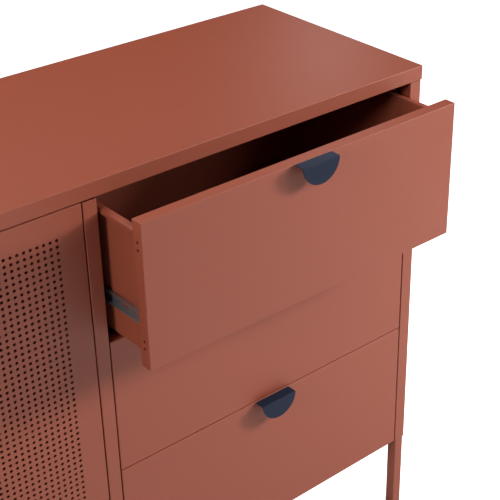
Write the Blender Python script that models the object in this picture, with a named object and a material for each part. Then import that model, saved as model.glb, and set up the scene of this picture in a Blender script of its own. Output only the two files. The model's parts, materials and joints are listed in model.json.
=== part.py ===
"""Powder-coated steel sideboard: a pair of perforated doors beside three drawers on ball-bearing slides.

Cabinet frame: +X to the right, +Y to the back with the front faces at y = 0, +Z up from the floor.
"""

import math

import bmesh
import bpy
from mathutils import Matrix, Vector

for old_object in list(bpy.data.objects):
    bpy.data.objects.remove(old_object, do_unlink=True)

# Overall sizes, in metres
WIDTH = 1.200
DEPTH = 0.400
HEIGHT = 0.900
LEG_HEIGHT = 0.158

# Sheet steel
SHEET = 0.0010
FOLD_RADIUS = 0.0018
FOLD_STEPS = 2
LIP = 0.012
SEAT = 0.0003

# Carcass
TOP_EDGE = 0.024
TOP_OVERHANG = 0.003
TOP_LIP_FRONT = 0.040
TOP_LIP = 0.020
POST_WIDTH = 0.0233
POST_RETURN = 0.020
DIVIDER_WIDTH = 0.0218
DRAWER_BAY_WIDTH = 0.5961
DECK_EDGE = 0.0214
DECK_SETBACK = 0.010
DECK_NOTCH = 0.0015
BACK_FLANGE = 0.016
BACK_PANEL_INSET = 0.002
UPRIGHT_WIDTH = 0.030
UPRIGHT_FLANGE = 0.010
UPRIGHT_FROM_POST = 0.025
UPRIGHT_FROM_BACK = 0.035

# Reveals round the doors and drawer fronts
REVEAL_SIDE = 0.0020
REVEAL_HEIGHT = 0.0018
FRONT_THICKNESS = 0.020

# Legs and glides
LEG_SIZE = 0.020
LEG_WALL = 0.0015
LEG_INSET = 0.002
LEG_CORNER = 0.0015
GLIDE_BASE = 0.004
GLIDE_PLUG = 0.014
GLIDE_CHAMFER = 0.0012

# Shelf behind the doors
SHELF_HEIGHT = 0.520
SHELF_EDGE = 0.020
SHELF_SETBACK = 0.035
RAIL_LEG = 0.020
RAIL_LEDGE = 0.015
RAIL_INSET = 0.020

# Perforated doors
HOLE_PITCH = 0.00992
HOLE_DIAMETER = 0.0050
HOLE_SIDES = 6
HOLE_MARGIN_SIDE = 0.0412
HOLE_MARGIN_TOP = 0.0402
HOLE_COLUMN_STEPS = 3
HOLE_ROW_STEPS = 4
PIVOT_INSET = 0.018
PIVOT_SETBACK = 0.007
PIVOT_RADIUS = 0.003
PIVOT_COLLAR_RADIUS = 0.005
PIVOT_COLLAR = 0.003
PIVOT_REACH = 0.004
PIVOT_PLATE = 0.002
PIVOT_PLATE_REACH = 0.010
PIVOT_PLATE_FRONT = 0.006
PIVOT_PLATE_BACK = 0.009
ROUND_STEPS = 12
CATCH_WIDTH = 0.050
CATCH_DEPTH = 0.015
CATCH_HEIGHT = 0.014
CATCH_BEVEL = 0.002

# Half-moon handles
HANDLE_RADIUS = 0.0346
HANDLE_PROJECTION = 0.0198
HANDLE_SHEET = 0.0015
HANDLE_TAB = 0.012
HANDLE_TAB_WIDTH = 0.038
HANDLE_ARC_STEPS = 18
HANDLE_FOLD_RADIUS = 0.0012

# Drawers
TRAY_DROP = 0.020
TRAY_RISE = 0.010
TRAY_DEPTH = 0.350
TRAY_FLANGE = 0.0095
TRAY_FLANGE_LIP = 0.007
SLIDE_SPACE = 0.0154
SCREW_HOLE_RADIUS = 0.0022
SCREW_HOLE_STEPS = 8
SCREW_HOLES_FROM_END = (0.032, 0.044)
TOP_DRAWER_OPENING = 0.0977

# Ball-bearing slides
SLIDE_SHEET = 0.0012
SLIDE_LENGTH = 0.350
SLIDE_HEIGHT = 0.030
SLIDE_RISE = 0.0595
SLIDE_FRONT_GAP = 0.0022
SLIDE_BALL = 0.004
SLIDE_OUTER_LIP = 0.0135
SLIDE_INNER_LIP = 0.0092
CAGE_SHEET = 0.0010
CAGE_WEB = 0.0060
CAGE_LIP = 0.0128
CAGE_LENGTH = 0.100
CAGE_FROM_FRONT = 0.125
CAGE_TRIM = 0.0006

# Places that follow from the sizes
side_out = WIDTH / 2 - TOP_OVERHANG
side_in = side_out - SHEET
bay_edge = side_out - POST_WIDTH
divider_right = bay_edge - DRAWER_BAY_WIDTH
divider_left = divider_right - DIVIDER_WIDTH
body_top = HEIGHT - TOP_EDGE
body_bottom = LEG_HEIGHT
deck_top = body_bottom + DECK_EDGE
deck_front = FRONT_THICKNESS + DECK_SETBACK
back_out = DEPTH - SEAT
back_flange_out = back_out - SHEET - SEAT
back_flange_in = back_flange_out - SHEET
panel_top = body_top - SEAT
front_top = body_top - REVEAL_HEIGHT
front_height = (front_top - deck_top - 2 * REVEAL_HEIGHT) / 3
front_width = DRAWER_BAY_WIDTH - 2 * REVEAL_SIDE
drawer_centre = (bay_edge + divider_right) / 2
tray_half = DRAWER_BAY_WIDTH / 2 - SLIDE_SPACE
tray_front = FRONT_THICKNESS + SEAT
tray_height = front_height - TRAY_DROP - TRAY_RISE
slide_front = FRONT_THICKNESS + SLIDE_FRONT_GAP
door_width = (divider_left + bay_edge - 3 * REVEAL_SIDE) / 2
door_height = front_top - body_bottom
doors_meet = (divider_left - bay_edge) / 2

RIGHT = 1
LEFT = -1


# Materials
def coat(name, colour, roughness, metallic):
    material = bpy.data.materials.new(name)
    material.use_nodes = True
    shader = material.node_tree.nodes["Principled BSDF"]
    shader.inputs["Base Color"].default_value = (*colour, 1.0)
    shader.inputs["Roughness"].default_value = roughness
    shader.inputs["Metallic"].default_value = metallic
    material.diffuse_color = (*colour, 1.0)
    return material


TERRACOTTA = coat("terracotta_powder_coat", (0.31, 0.058, 0.034), 0.45, 0.0)
NAVY = coat("navy_powder_coat", (0.026, 0.034, 0.062), 0.40, 0.0)
ZINC = coat("zinc_plated_steel", (0.42, 0.43, 0.45), 0.32, 1.0)
BLACK = coat("black_plastic", (0.02, 0.02, 0.02), 0.55, 0.0)


# Bodies: one empty each, carrying the pieces that move together
def body(name, home, parent=None, shift=(0, 0, 0)):
    empty = bpy.data.objects.new(name, None)
    bpy.context.scene.collection.objects.link(empty)
    parent_home = Vector(parent["home"]) if parent else Vector()
    if parent:
        empty.parent = parent["empty"]
    empty.location = Vector(home) - parent_home + Vector(shift)
    return {"empty": empty, "home": Vector(home)}


def piece(name, mesh, material, carrier):
    mesh.transform(Matrix.Translation(-carrier["home"]))
    data = bpy.data.meshes.new(name)
    mesh.to_mesh(data)
    mesh.free()
    data.materials.append(material)
    made = bpy.data.objects.new(name, data)
    bpy.context.scene.collection.objects.link(made)
    made.parent = carrier["empty"]
    return made


def thicken(made, thickness=SHEET, radius=FOLD_RADIUS, steps=FOLD_STEPS):
    """Round the folds of a sheet piece and give it its thickness, away from its outer face."""
    if radius:
        rounding = made.modifiers.new("folds", "BEVEL")
        rounding.limit_method = "ANGLE"
        rounding.angle_limit = math.radians(40)
        rounding.width = radius
        rounding.segments = steps
    wall = made.modifiers.new("wall", "SOLIDIFY")
    wall.thickness = thickness
    wall.offset = -1
    wall.use_even_offset = True
    wall.use_quality_normals = True


def settle(made):
    """Replace the mesh by the result of its modifiers."""
    bpy.context.view_layer.update()
    evaluated = made.evaluated_get(bpy.context.evaluated_depsgraph_get())
    result = bpy.data.meshes.new_from_object(evaluated)
    made.modifiers.clear()
    made.data = result


def combine(made, tool_mesh, operation, carrier):
    """Cut a tool out of a piece, or join it on, and drop the tool."""
    tool = piece(made.name + "_tool", tool_mesh, made.data.materials[0], carrier)
    change = made.modifiers.new("tool", "BOOLEAN")
    change.operation = operation
    change.solver = "EXACT"
    change.object = tool
    settle(made)
    bpy.data.objects.remove(tool, do_unlink=True)


# Shapes
def face_away(mesh, inside):
    """Turn the faces so that the first one looks away from a point on the side that is thickened."""
    mesh.faces.ensure_lookup_table()
    mesh.normal_update()
    first = mesh.faces[0]
    if first.normal.dot(Vector(inside) - first.calc_center_median()) > 0:
        bmesh.ops.reverse_faces(mesh, faces=mesh.faces[:])


def folded_sheet(path, levels, place, inside, skip=()):
    """A sheet folded at the corners of path and cut at the levels, with the cells in skip left out."""
    mesh = bmesh.new()
    rows = [[mesh.verts.new(place(a, b, level)) for a, b in path] for level in levels]
    for j in range(len(levels) - 1):
        for i in range(len(path) - 1):
            if (i, j) not in skip:
                mesh.faces.new((rows[j][i], rows[j][i + 1], rows[j + 1][i + 1], rows[j + 1][i]))
    loose = [vertex for vertex in mesh.verts if not vertex.link_faces]
    bmesh.ops.delete(mesh, geom=loose, context="VERTS")
    face_away(mesh, inside)
    return mesh


def upright(a, b, level):
    return (a, b, level)


def lengthwise(a, b, level):
    return (a, level, b)


def rectangle(u0, u1, v0, v1):
    return [(u0, v0), (u1, v0), (u1, v1), (u0, v1)]


def pan(u, v, depth, lips, place):
    """A face with four flanges and return lips; lips are given for the low and high u, then low and high v."""
    mesh = bmesh.new()
    edge = rectangle(*u, *v)
    inner = rectangle(u[0] + lips[0], u[1] - lips[1], v[0] + lips[2], v[1] - lips[3])
    rings = [(edge, 0.0), (edge, depth), (inner, depth)]
    rings = [[mesh.verts.new(place(a, b, w)) for a, b in ring] for ring, w in rings]
    mesh.faces.new(rings[0])
    for near, far in zip(rings, rings[1:]):
        for i in range(4):
            j = (i + 1) % 4
            mesh.faces.new((near[j], near[i], far[i], far[j]))
    face_away(mesh, place(sum(u) / 2, sum(v) / 2, depth))
    return mesh


def loft(rings):
    """A closed solid through rings of equal counts, capped at both ends."""
    mesh = bmesh.new()
    rings = [[mesh.verts.new(point) for point in ring] for ring in rings]
    mesh.faces.new(rings[0])
    mesh.faces.new(rings[-1])
    for near, far in zip(rings, rings[1:]):
        for i in range(len(near)):
            j = (i + 1) % len(near)
            mesh.faces.new((near[i], near[j], far[j], far[i]))
    bmesh.ops.recalc_face_normals(mesh, faces=mesh.faces[:])
    return mesh


def circle(x, y, z, radius, steps=ROUND_STEPS):
    turns = [2 * math.pi * i / steps for i in range(steps)]
    return [(x + radius * math.cos(t), y + radius * math.sin(t), z) for t in turns]


def square(x, y, z, half, corner):
    """A square with chamfered corners."""
    a, b = half, half - corner
    corners = [(a, -b), (a, b), (b, a), (-b, a), (-a, b), (-a, -b), (-b, -a), (b, -a)]
    return [(x + u, y + v, z) for u, v in corners]


def block(low, high):
    x0, y0, z0 = low
    x1, y1, z1 = high
    return loft([[(x, y, z) for x, y in rectangle(x0, x1, y0, y1)] for z in (z0, z1)])


def join(meshes):
    """One mesh that holds several separate tools."""
    whole = meshes[0]
    for other in meshes[1:]:
        data = bpy.data.meshes.new("part_of_tool")
        other.to_mesh(data)
        other.free()
        whole.from_mesh(data)
        bpy.data.meshes.remove(data)
    return whole


# Handles: tapered tab on the face, ledge, fold, half-moon
def handle_mesh(place):
    """place takes a point along the handle, its distance out of the face and its distance from the edge."""
    mesh = bmesh.new()
    out = HANDLE_PROJECTION - SEAT

    def point(along, projection, across):
        return mesh.verts.new(place(along, projection + SEAT, across))

    ends = (-HANDLE_RADIUS, HANDLE_RADIUS)
    tab = [point(a, 0, HANDLE_TAB) for a in (-HANDLE_TAB_WIDTH / 2, HANDLE_TAB_WIDTH / 2)]
    back = [point(a, 0, 0) for a in ends]
    fold = [point(a, out, 0) for a in ends]
    arc = []
    for i in range(1, HANDLE_ARC_STEPS):
        turn = math.pi * i / HANDLE_ARC_STEPS
        arc.append(point(HANDLE_RADIUS * math.cos(turn), out, HANDLE_RADIUS * math.sin(turn)))
    mesh.faces.new((tab[0], tab[1], back[1], back[0]))
    mesh.faces.new((back[0], back[1], fold[1], fold[0]))
    mesh.faces.new((fold[0], fold[1], *arc))
    face_away(mesh, place(0, HANDLE_PROJECTION, HANDLE_TAB))
    return mesh


# Carcass
front_reach = TOP_DRAWER_OPENING + HANDLE_PROJECTION
cabinet = body("cabinet", (0, 0, 0), shift=(0, (front_reach - DEPTH) / 2, 0))

pin_places = {
    LEFT: -bay_edge + REVEAL_SIDE + PIVOT_INSET,
    RIGHT: divider_left - REVEAL_SIDE - PIVOT_INSET,
}
pin_hole = PIVOT_RADIUS + SEAT


def pin_tool(x, low, high):
    return loft([circle(x, PIVOT_SETBACK, z, pin_hole) for z in (low, high)])


top_panel = piece(
    "top_panel",
    pan(
        (-WIDTH / 2, WIDTH / 2),
        (0, DEPTH),
        TOP_EDGE,
        (TOP_LIP, TOP_LIP, TOP_LIP_FRONT, TOP_LIP),
        lambda x, y, w: (x, y, HEIGHT - w),
    ),
    TERRACOTTA,
    cabinet,
)
thicken(top_panel)
lip_tools = [pin_tool(x, body_top - TOP_EDGE / 4, body_top + TOP_EDGE / 4) for x in pin_places.values()]
combine(top_panel, join(lip_tools), "DIFFERENCE", cabinet)

for side, name in ((LEFT, "side_panel_left"), (RIGHT, "side_panel_right")):
    side_path = [
        (side * (side_out - BACK_FLANGE), back_flange_out),
        (side * side_out, back_flange_out),
        (side * side_out, 0),
        (side * bay_edge, 0),
        (side * bay_edge, POST_RETURN),
    ]
    inside_side = (side * (side_out - POST_WIDTH / 2), DEPTH / 2, HEIGHT / 2)
    side_panel = piece(
        name,
        folded_sheet(side_path, (body_bottom, panel_top), upright, inside_side),
        TERRACOTTA,
        cabinet,
    )
    thicken(side_panel)

# The divider's wall stands on the deck, its post runs down past it and stops at the reveal under the top
notch = deck_front - DECK_NOTCH
divider_levels = (body_bottom, deck_top + SEAT, front_top, panel_top)
divider_path = [
    (divider_left + BACK_FLANGE, back_flange_out),
    (divider_left, back_flange_out),
    (divider_left, notch),
    (divider_left, 0),
    (divider_right, 0),
    (divider_right, POST_RETURN),
]
divider_cuts = [(0, 0), (1, 0), (2, 2), (3, 2), (4, 2)]
inside_divider = ((divider_left + divider_right) / 2, DEPTH / 2, HEIGHT / 2)
divider_panel = piece(
    "divider_panel",
    folded_sheet(divider_path, divider_levels, upright, inside_divider, skip=divider_cuts),
    TERRACOTTA,
    cabinet,
)
thicken(divider_panel)

bottom_panel = piece(
    "bottom_panel",
    pan(
        (SEAT - side_in, side_in - SEAT),
        (deck_front, back_flange_in - SEAT),
        DECK_EDGE,
        (LIP, LIP, LIP, LIP),
        lambda x, y, w: (x, y, deck_top - w),
    ),
    TERRACOTTA,
    cabinet,
)
thicken(bottom_panel)

back_edge = side_out - BACK_PANEL_INSET
back_panel = piece(
    "back_panel",
    folded_sheet(
        [(-back_edge, back_out), (back_edge, back_out)],
        (body_bottom + BACK_PANEL_INSET, panel_top),
        upright,
        (0, 0, HEIGHT / 2),
    ),
    TERRACOTTA,
    cabinet,
)
thicken(back_panel, radius=0)

# Hat-section uprights that carry the slides, a front and a back one on each side of the bay
upright_rows = {
    "front": POST_RETURN + UPRIGHT_FROM_POST,
    "back": back_flange_in - UPRIGHT_FROM_BACK - UPRIGHT_WIDTH,
}
upright_walls = {
    "left": (divider_left + SHEET + SEAT, divider_right),
    "right": (side_in - SEAT, bay_edge),
}
for side_name, (wall, crown) in upright_walls.items():
    flange = wall + math.copysign(SHEET, crown - wall)
    for row_name, near in upright_rows.items():
        far = near + UPRIGHT_WIDTH
        hat_path = [
            (flange, near - UPRIGHT_FLANGE),
            (flange, near),
            (crown, near),
            (crown, far),
            (flange, far),
            (flange, far + UPRIGHT_FLANGE),
        ]
        hat = piece(
            f"slide_upright_{row_name}_{side_name}",
            folded_sheet(hat_path, (deck_top + SEAT, panel_top), upright, (wall, near, HEIGHT / 2)),
            TERRACOTTA,
            cabinet,
        )
        thicken(hat)

# Legs with plugged glides
leg_centre_x = side_out - LEG_INSET - LEG_SIZE / 2
leg_rows = {"front": LEG_SIZE / 2, "back": back_flange_out - LEG_SIZE / 2}
leg_bottom = GLIDE_BASE + SEAT
leg_top = body_bottom - SEAT
bore_half = LEG_SIZE / 2 - LEG_WALL
plug_half = bore_half - SEAT
plug_top = GLIDE_BASE + GLIDE_PLUG
for side, side_name in ((LEFT, "left"), (RIGHT, "right")):
    for row_name, y in leg_rows.items():
        x = side * leg_centre_x
        tube = loft([square(x, y, z, LEG_SIZE / 2, LEG_CORNER) for z in (leg_bottom, leg_top)])
        leg = piece(f"leg_{row_name}_{side_name}", tube, TERRACOTTA, cabinet)
        past = (leg_bottom - LEG_WALL, leg_top + LEG_WALL)
        bore = loft([square(x, y, z, bore_half, LEG_CORNER / 2) for z in past])
        combine(leg, bore, "DIFFERENCE", cabinet)
        glide = loft(
            [
                square(x, y, 0, LEG_SIZE / 2 - GLIDE_CHAMFER, LEG_CORNER),
                square(x, y, GLIDE_CHAMFER, LEG_SIZE / 2, LEG_CORNER),
                square(x, y, GLIDE_BASE, LEG_SIZE / 2, LEG_CORNER),
                square(x, y, GLIDE_BASE, plug_half, LEG_CORNER),
                square(x, y, plug_top - GLIDE_CHAMFER, plug_half, LEG_CORNER),
                square(x, y, plug_top, plug_half - GLIDE_CHAMFER, LEG_CORNER),
            ]
        )
        piece(f"glide_{row_name}_{side_name}", glide, BLACK, cabinet)

# Shelf on two angle rails
shelf_front = POST_RETURN + SHELF_SETBACK
shelf_back = back_flange_in - SEAT
shelf_left = SEAT - side_in
shelf_right = divider_left - SEAT
shelf = piece(
    "shelf",
    pan(
        (shelf_left, shelf_right),
        (shelf_front, shelf_back),
        SHELF_EDGE,
        (LIP, LIP, LIP, LIP),
        lambda x, y, w: (x, y, SHELF_HEIGHT - w),
    ),
    TERRACOTTA,
    cabinet,
)
thicken(shelf)
rail_top = SHELF_HEIGHT - SHELF_EDGE - SEAT
for name, wall, inward in (("left", shelf_left, RIGHT), ("right", shelf_right, LEFT)):
    angle = [(wall + inward * RAIL_LEDGE, rail_top), (wall, rail_top), (wall, rail_top - RAIL_LEG)]
    rail_ends = (shelf_front + RAIL_INSET, shelf_back - RAIL_INSET)
    below = (wall + inward * RAIL_LEDGE / 2, DEPTH / 2, rail_top - RAIL_LEG)
    rail = piece(f"shelf_rail_{name}", folded_sheet(angle, rail_ends, lengthwise, below), TERRACOTTA, cabinet)
    thicken(rail)

# Magnetic catch under the lip of the top, behind the edges where the doors meet
catch_front = FRONT_THICKNESS + SEAT
catch = piece(
    "door_catch",
    block(
        (doors_meet - CATCH_WIDTH / 2, catch_front, panel_top - CATCH_HEIGHT),
        (doors_meet + CATCH_WIDTH / 2, catch_front + CATCH_DEPTH, panel_top),
    ),
    BLACK,
    cabinet,
)
softened = catch.modifiers.new("edges", "BEVEL")
softened.width = CATCH_BEVEL

# Plates under the lower pivots: one against the leg, one under the foot of the divider
plate_top = body_bottom - SEAT
leg_inner = leg_centre_x - LEG_SIZE / 2
plate_spans = {
    LEFT: (SEAT - leg_inner, pin_places[LEFT] + PIVOT_PLATE_REACH),
    RIGHT: (pin_places[RIGHT] - PIVOT_PLATE_REACH, divider_right),
}
for side, name in ((LEFT, "left"), (RIGHT, "right")):
    low_x, high_x = plate_spans[side]
    plate = piece(
        f"pivot_plate_{name}",
        block(
            (low_x, PIVOT_SETBACK - PIVOT_PLATE_FRONT, plate_top - PIVOT_PLATE),
            (high_x, PIVOT_SETBACK + PIVOT_PLATE_BACK, plate_top),
        ),
        TERRACOTTA,
        cabinet,
    )
    drilled = pin_tool(pin_places[side], plate_top - 2 * PIVOT_PLATE, plate_top + PIVOT_PLATE)
    combine(plate, drilled, "DIFFERENCE", cabinet)


# Doors
def perforated_pan(x0, x1, z0, z1):
    """A door pan whose face carries a square grid of round holes."""
    mesh = bmesh.new()

    def hole_lines(low, high, margin, steps):
        count = int((high - low - 2 * margin) / HOLE_PITCH + 0.5) + 1
        first = (low + high) / 2 - (count - 1) * HOLE_PITCH / 2
        return [first + i * HOLE_PITCH for i in range(0, count, steps)]

    def cell_lines(holes, steps, low, high):
        half = steps * HOLE_PITCH / 2
        return [low, *[h - half for h in holes], holes[-1] + half, high]

    holes_x = hole_lines(x0, x1, HOLE_MARGIN_SIDE, HOLE_COLUMN_STEPS)
    holes_z = hole_lines(z0, z1, HOLE_MARGIN_TOP, HOLE_ROW_STEPS)
    lines_x = cell_lines(holes_x, HOLE_COLUMN_STEPS, x0, x1)
    lines_z = cell_lines(holes_z, HOLE_ROW_STEPS, z0, z1)
    grid = [[mesh.verts.new((x, 0, z)) for x in lines_x] for z in lines_z]

    def ring_of(x, z):
        turns = [2 * math.pi * (k + 0.5) / HOLE_SIDES for k in range(HOLE_SIDES)]
        radius = HOLE_DIAMETER / 2
        return [mesh.verts.new((x + radius * math.cos(t), 0, z + radius * math.sin(t))) for t in turns]

    def around(vertex, x, z):
        return math.atan2(vertex.co.z - z, vertex.co.x - x) % (2 * math.pi)

    def punch(corners, x, z):
        """Fill between a cell's four corners and its hole, going round both by angle."""
        inner = sorted(ring_of(x, z), key=lambda vertex: around(vertex, x, z))
        outer = sorted(corners, key=lambda vertex: around(vertex, x, z))
        i = j = 0
        while i + j < len(inner) + len(outer):
            a, b = inner[i % len(inner)], outer[j % len(outer)]
            next_inner = around(inner[i % len(inner)], x, z) + 2 * math.pi * (i // len(inner))
            next_outer = around(outer[j % len(outer)], x, z) + 2 * math.pi * (j // len(outer))
            if next_inner < next_outer:
                c = inner[(i + 1) % len(inner)]
                i += 1
            else:
                c = outer[(j + 1) % len(outer)]
                j += 1
            mesh.faces.new((a, b, c))

    for r in range(len(lines_z) - 1):
        for c in range(len(lines_x) - 1):
            corners = (grid[r][c], grid[r][c + 1], grid[r + 1][c + 1], grid[r + 1][c])
            if 0 < r <= len(holes_z) and 0 < c <= len(holes_x):
                punch(corners, holes_x[c - 1], holes_z[r - 1])
            else:
                mesh.faces.new(corners)

    # Flanges and lips continue from the outline of the face
    low_row, high_row = grid[0], grid[-1]
    outline = low_row + [row[-1] for row in grid[1:-1]] + high_row[::-1] + [row[0] for row in grid[-2:0:-1]]

    def inset(co):
        x = min(max(co.x, x0 + LIP), x1 - LIP)
        z = min(max(co.z, z0 + LIP), z1 - LIP)
        return (x, FRONT_THICKNESS, z)

    flange = [mesh.verts.new((v.co.x, FRONT_THICKNESS, v.co.z)) for v in outline]
    lip = [mesh.verts.new(inset(v.co)) for v in outline]
    for near, far in ((outline, flange), (flange, lip)):
        for i in range(len(near)):
            j = (i + 1) % len(near)
            mesh.faces.new((near[j], near[i], far[i], far[j]))
    bmesh.ops.recalc_face_normals(mesh, faces=mesh.faces[:])
    face_away(mesh, ((x0 + x1) / 2, FRONT_THICKNESS, (z0 + z1) / 2))
    return mesh


pin_profile = (
    (-PIVOT_COLLAR - SHEET - SEAT, PIVOT_COLLAR_RADIUS),
    (-SHEET - SEAT, PIVOT_COLLAR_RADIUS),
    (-SHEET - SEAT, PIVOT_RADIUS),
)
door_spans = {
    LEFT: (-bay_edge + REVEAL_SIDE, -bay_edge + REVEAL_SIDE + door_width),
    RIGHT: (divider_left - REVEAL_SIDE - door_width, divider_left - REVEAL_SIDE),
}
door_middle = body_bottom + door_height / 2
for side, name in ((LEFT, "left"), (RIGHT, "right")):
    low_x, high_x = door_spans[side]
    pin_x = pin_places[side]
    door = body(f"door_{name}", (pin_x, PIVOT_SETBACK, body_bottom), cabinet)
    panel = piece(f"door_panel_{name}", perforated_pan(low_x, high_x, body_bottom, front_top), TERRACOTTA, door)
    thicken(panel)
    pin_tools = [pin_tool(pin_x, z - LIP / 2, z + LIP / 2) for z in (body_bottom, front_top)]
    combine(panel, join(pin_tools), "DIFFERENCE", door)
    reaches = {
        "upper": (front_top, 1, REVEAL_HEIGHT + SHEET + PIVOT_REACH),
        "lower": (body_bottom, -1, SEAT + PIVOT_PLATE + PIVOT_REACH),
    }
    for end, (flange_z, way, reach) in reaches.items():
        profile = [*pin_profile, (reach, PIVOT_RADIUS)]
        pin = loft([circle(pin_x, PIVOT_SETBACK, flange_z + way * z, r) for z, r in profile])
        piece(f"door_pivot_{end}_{name}", pin, ZINC, door)
    free_edge = low_x if side == RIGHT else high_x
    grip = piece(
        f"door_handle_{name}",
        handle_mesh(lambda a, out, across: (free_edge + side * across, -out, door_middle + a)),
        NAVY,
        door,
    )
    thicken(grip, HANDLE_SHEET, HANDLE_FOLD_RADIUS)


# Drawers
def tray_mesh(low_z):
    """A folded tray whose sides end in an outward flange with a turned-down lip."""
    mesh = bmesh.new()
    y0, y1 = tray_front, tray_front + TRAY_DEPTH
    z0, z1 = low_z, low_z + tray_height - SHEET

    def point(x, y, z):
        return mesh.verts.new((drawer_centre + x, y, z))

    floor = [point(x, y, z0) for x, y in rectangle(-tray_half, tray_half, y0, y1)]
    rim = [point(x, y, z1) for x, y in rectangle(-tray_half, tray_half, y0, y1)]
    mesh.faces.new(floor)
    for i in range(4):
        j = (i + 1) % 4
        mesh.faces.new((floor[j], floor[i], rim[i], rim[j]))
    edge = tray_half + TRAY_FLANGE - SHEET
    for side, (front, back) in ((LEFT, (rim[0], rim[3])), (RIGHT, (rim[1], rim[2]))):
        flange = [point(side * edge, y, z1) for y in (y0, y1)]
        lip = [point(side * edge, y, z1 - TRAY_FLANGE_LIP + SHEET) for y in (y0, y1)]
        mesh.faces.new((front, back, flange[1], flange[0]))
        mesh.faces.new((flange[0], flange[1], lip[1], lip[0]))
    bmesh.ops.recalc_face_normals(mesh, faces=mesh.faces[:])
    face_away(mesh, (drawer_centre, (y0 + y1) / 2, z1))
    return mesh


def screw_tools(low_x, high_x, low_z, high_z):
    """Holes in the side flanges of a drawer front, two near each end."""
    tools = []
    for offset in SCREW_HOLES_FROM_END:
        for z in (low_z + offset, high_z - offset):
            for x in (low_x, high_x):
                ends = (x - LIP / 2, x + LIP / 2)
                rings = [circle(FRONT_THICKNESS / 2, z, end, SCREW_HOLE_RADIUS, SCREW_HOLE_STEPS) for end in ends]
                tools.append(loft([[(c, a, b) for a, b, c in ring] for ring in rings]))
    return join(tools)


slide_sides = {"left": (divider_right, LEFT), "right": (bay_edge, RIGHT)}
slide_back = slide_front + SLIDE_LENGTH
race_height = SLIDE_HEIGHT - 2 * SLIDE_SHEET
inner_height = race_height - 2 * SLIDE_BALL
cage_height = race_height - SLIDE_BALL + CAGE_SHEET
slide_span = (slide_front, slide_back)
cage_span = (slide_front + CAGE_FROM_FRONT, slide_front + CAGE_FROM_FRONT + CAGE_LENGTH)


def channel(wall, side, web, lip, tall, z, span):
    """A slide member: a web and two lips, at distances from the bay's edge towards the drawer."""
    half = tall / 2
    outline = [(lip, half), (web, half), (web, -half), (lip, -half)]
    path = [(wall - side * distance, z + across) for distance, across in outline]
    middle = (wall - side * (web + lip) / 2, DEPTH / 2, z)
    mesh = folded_sheet(path, span, lengthwise, middle)
    face_away(mesh, (wall - side * (web + lip) / 2, sum(span) / 2, z))
    return mesh


def ball_rows(wall, side, z):
    """The rows of balls in a cage's lips, one above and one below the drawer member."""
    x0, x1 = sorted(wall - side * distance for distance in (SLIDE_INNER_LIP + CAGE_TRIM, CAGE_LIP - CAGE_TRIM))
    y0, y1 = cage_span[0] + CAGE_TRIM, cage_span[1] - CAGE_TRIM
    made = []
    for way in (1, -1):
        z0, z1 = sorted(z + way * distance for distance in (inner_height / 2 + SEAT, race_height / 2 - SEAT))
        made.append(block((x0, y0, z0), (x1, y1, z1)))
    return join(made)


drawer_names = ("bottom", "middle", "top")
for level, name in enumerate(drawer_names):
    step_bottom = deck_top + level * (front_height + REVEAL_HEIGHT)
    low_z = body_bottom if level == 0 else step_bottom
    high_z = step_bottom + front_height
    opening = TOP_DRAWER_OPENING if name == "top" else 0
    home = (drawer_centre, 0, step_bottom)
    drawer = body(f"drawer_{name}", home, cabinet, (0, -opening, 0))
    runner = body(f"slide_cage_{name}", home, cabinet, (0, -opening / 2, 0))

    low_x, high_x = drawer_centre - front_width / 2, drawer_centre + front_width / 2
    front = piece(
        f"drawer_front_{name}",
        pan((low_x, high_x), (low_z, high_z), FRONT_THICKNESS, (LIP, LIP, LIP, LIP), lambda x, z, w: (x, w, z)),
        TERRACOTTA,
        drawer,
    )
    thicken(front)
    combine(front, screw_tools(low_x, high_x, low_z, high_z), "DIFFERENCE", drawer)

    tray_bottom = step_bottom + TRAY_RISE
    tray = piece(f"drawer_tray_{name}", tray_mesh(tray_bottom), TERRACOTTA, drawer)
    thicken(tray)

    grip = piece(
        f"drawer_handle_{name}",
        handle_mesh(lambda a, out, across: (drawer_centre + a, -out, high_z - across)),
        NAVY,
        drawer,
    )
    thicken(grip, HANDLE_SHEET, HANDLE_FOLD_RADIUS)

    slide_z = tray_bottom + SLIDE_RISE
    for side_name, (wall, side) in slide_sides.items():
        members = (
            ("outer", cabinet, SEAT, SLIDE_OUTER_LIP, SLIDE_HEIGHT, slide_span, SLIDE_SHEET),
            ("cage", runner, CAGE_WEB, CAGE_LIP, cage_height, cage_span, CAGE_SHEET),
            ("inner", drawer, SLIDE_SPACE - SEAT, SLIDE_INNER_LIP, inner_height, slide_span, SLIDE_SHEET),
        )
        for member, carrier, web, lip, tall, span, sheet in members:
            rail = piece(
                f"slide_{member}_{name}_{side_name}",
                channel(wall, side, web, lip, tall, slide_z, span),
                ZINC,
                carrier,
            )
            thicken(rail, sheet, radius=0)
            if member == "cage":
                combine(rail, ball_rows(wall, side, slide_z), "UNION", carrier)
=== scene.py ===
import json
import math

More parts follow.
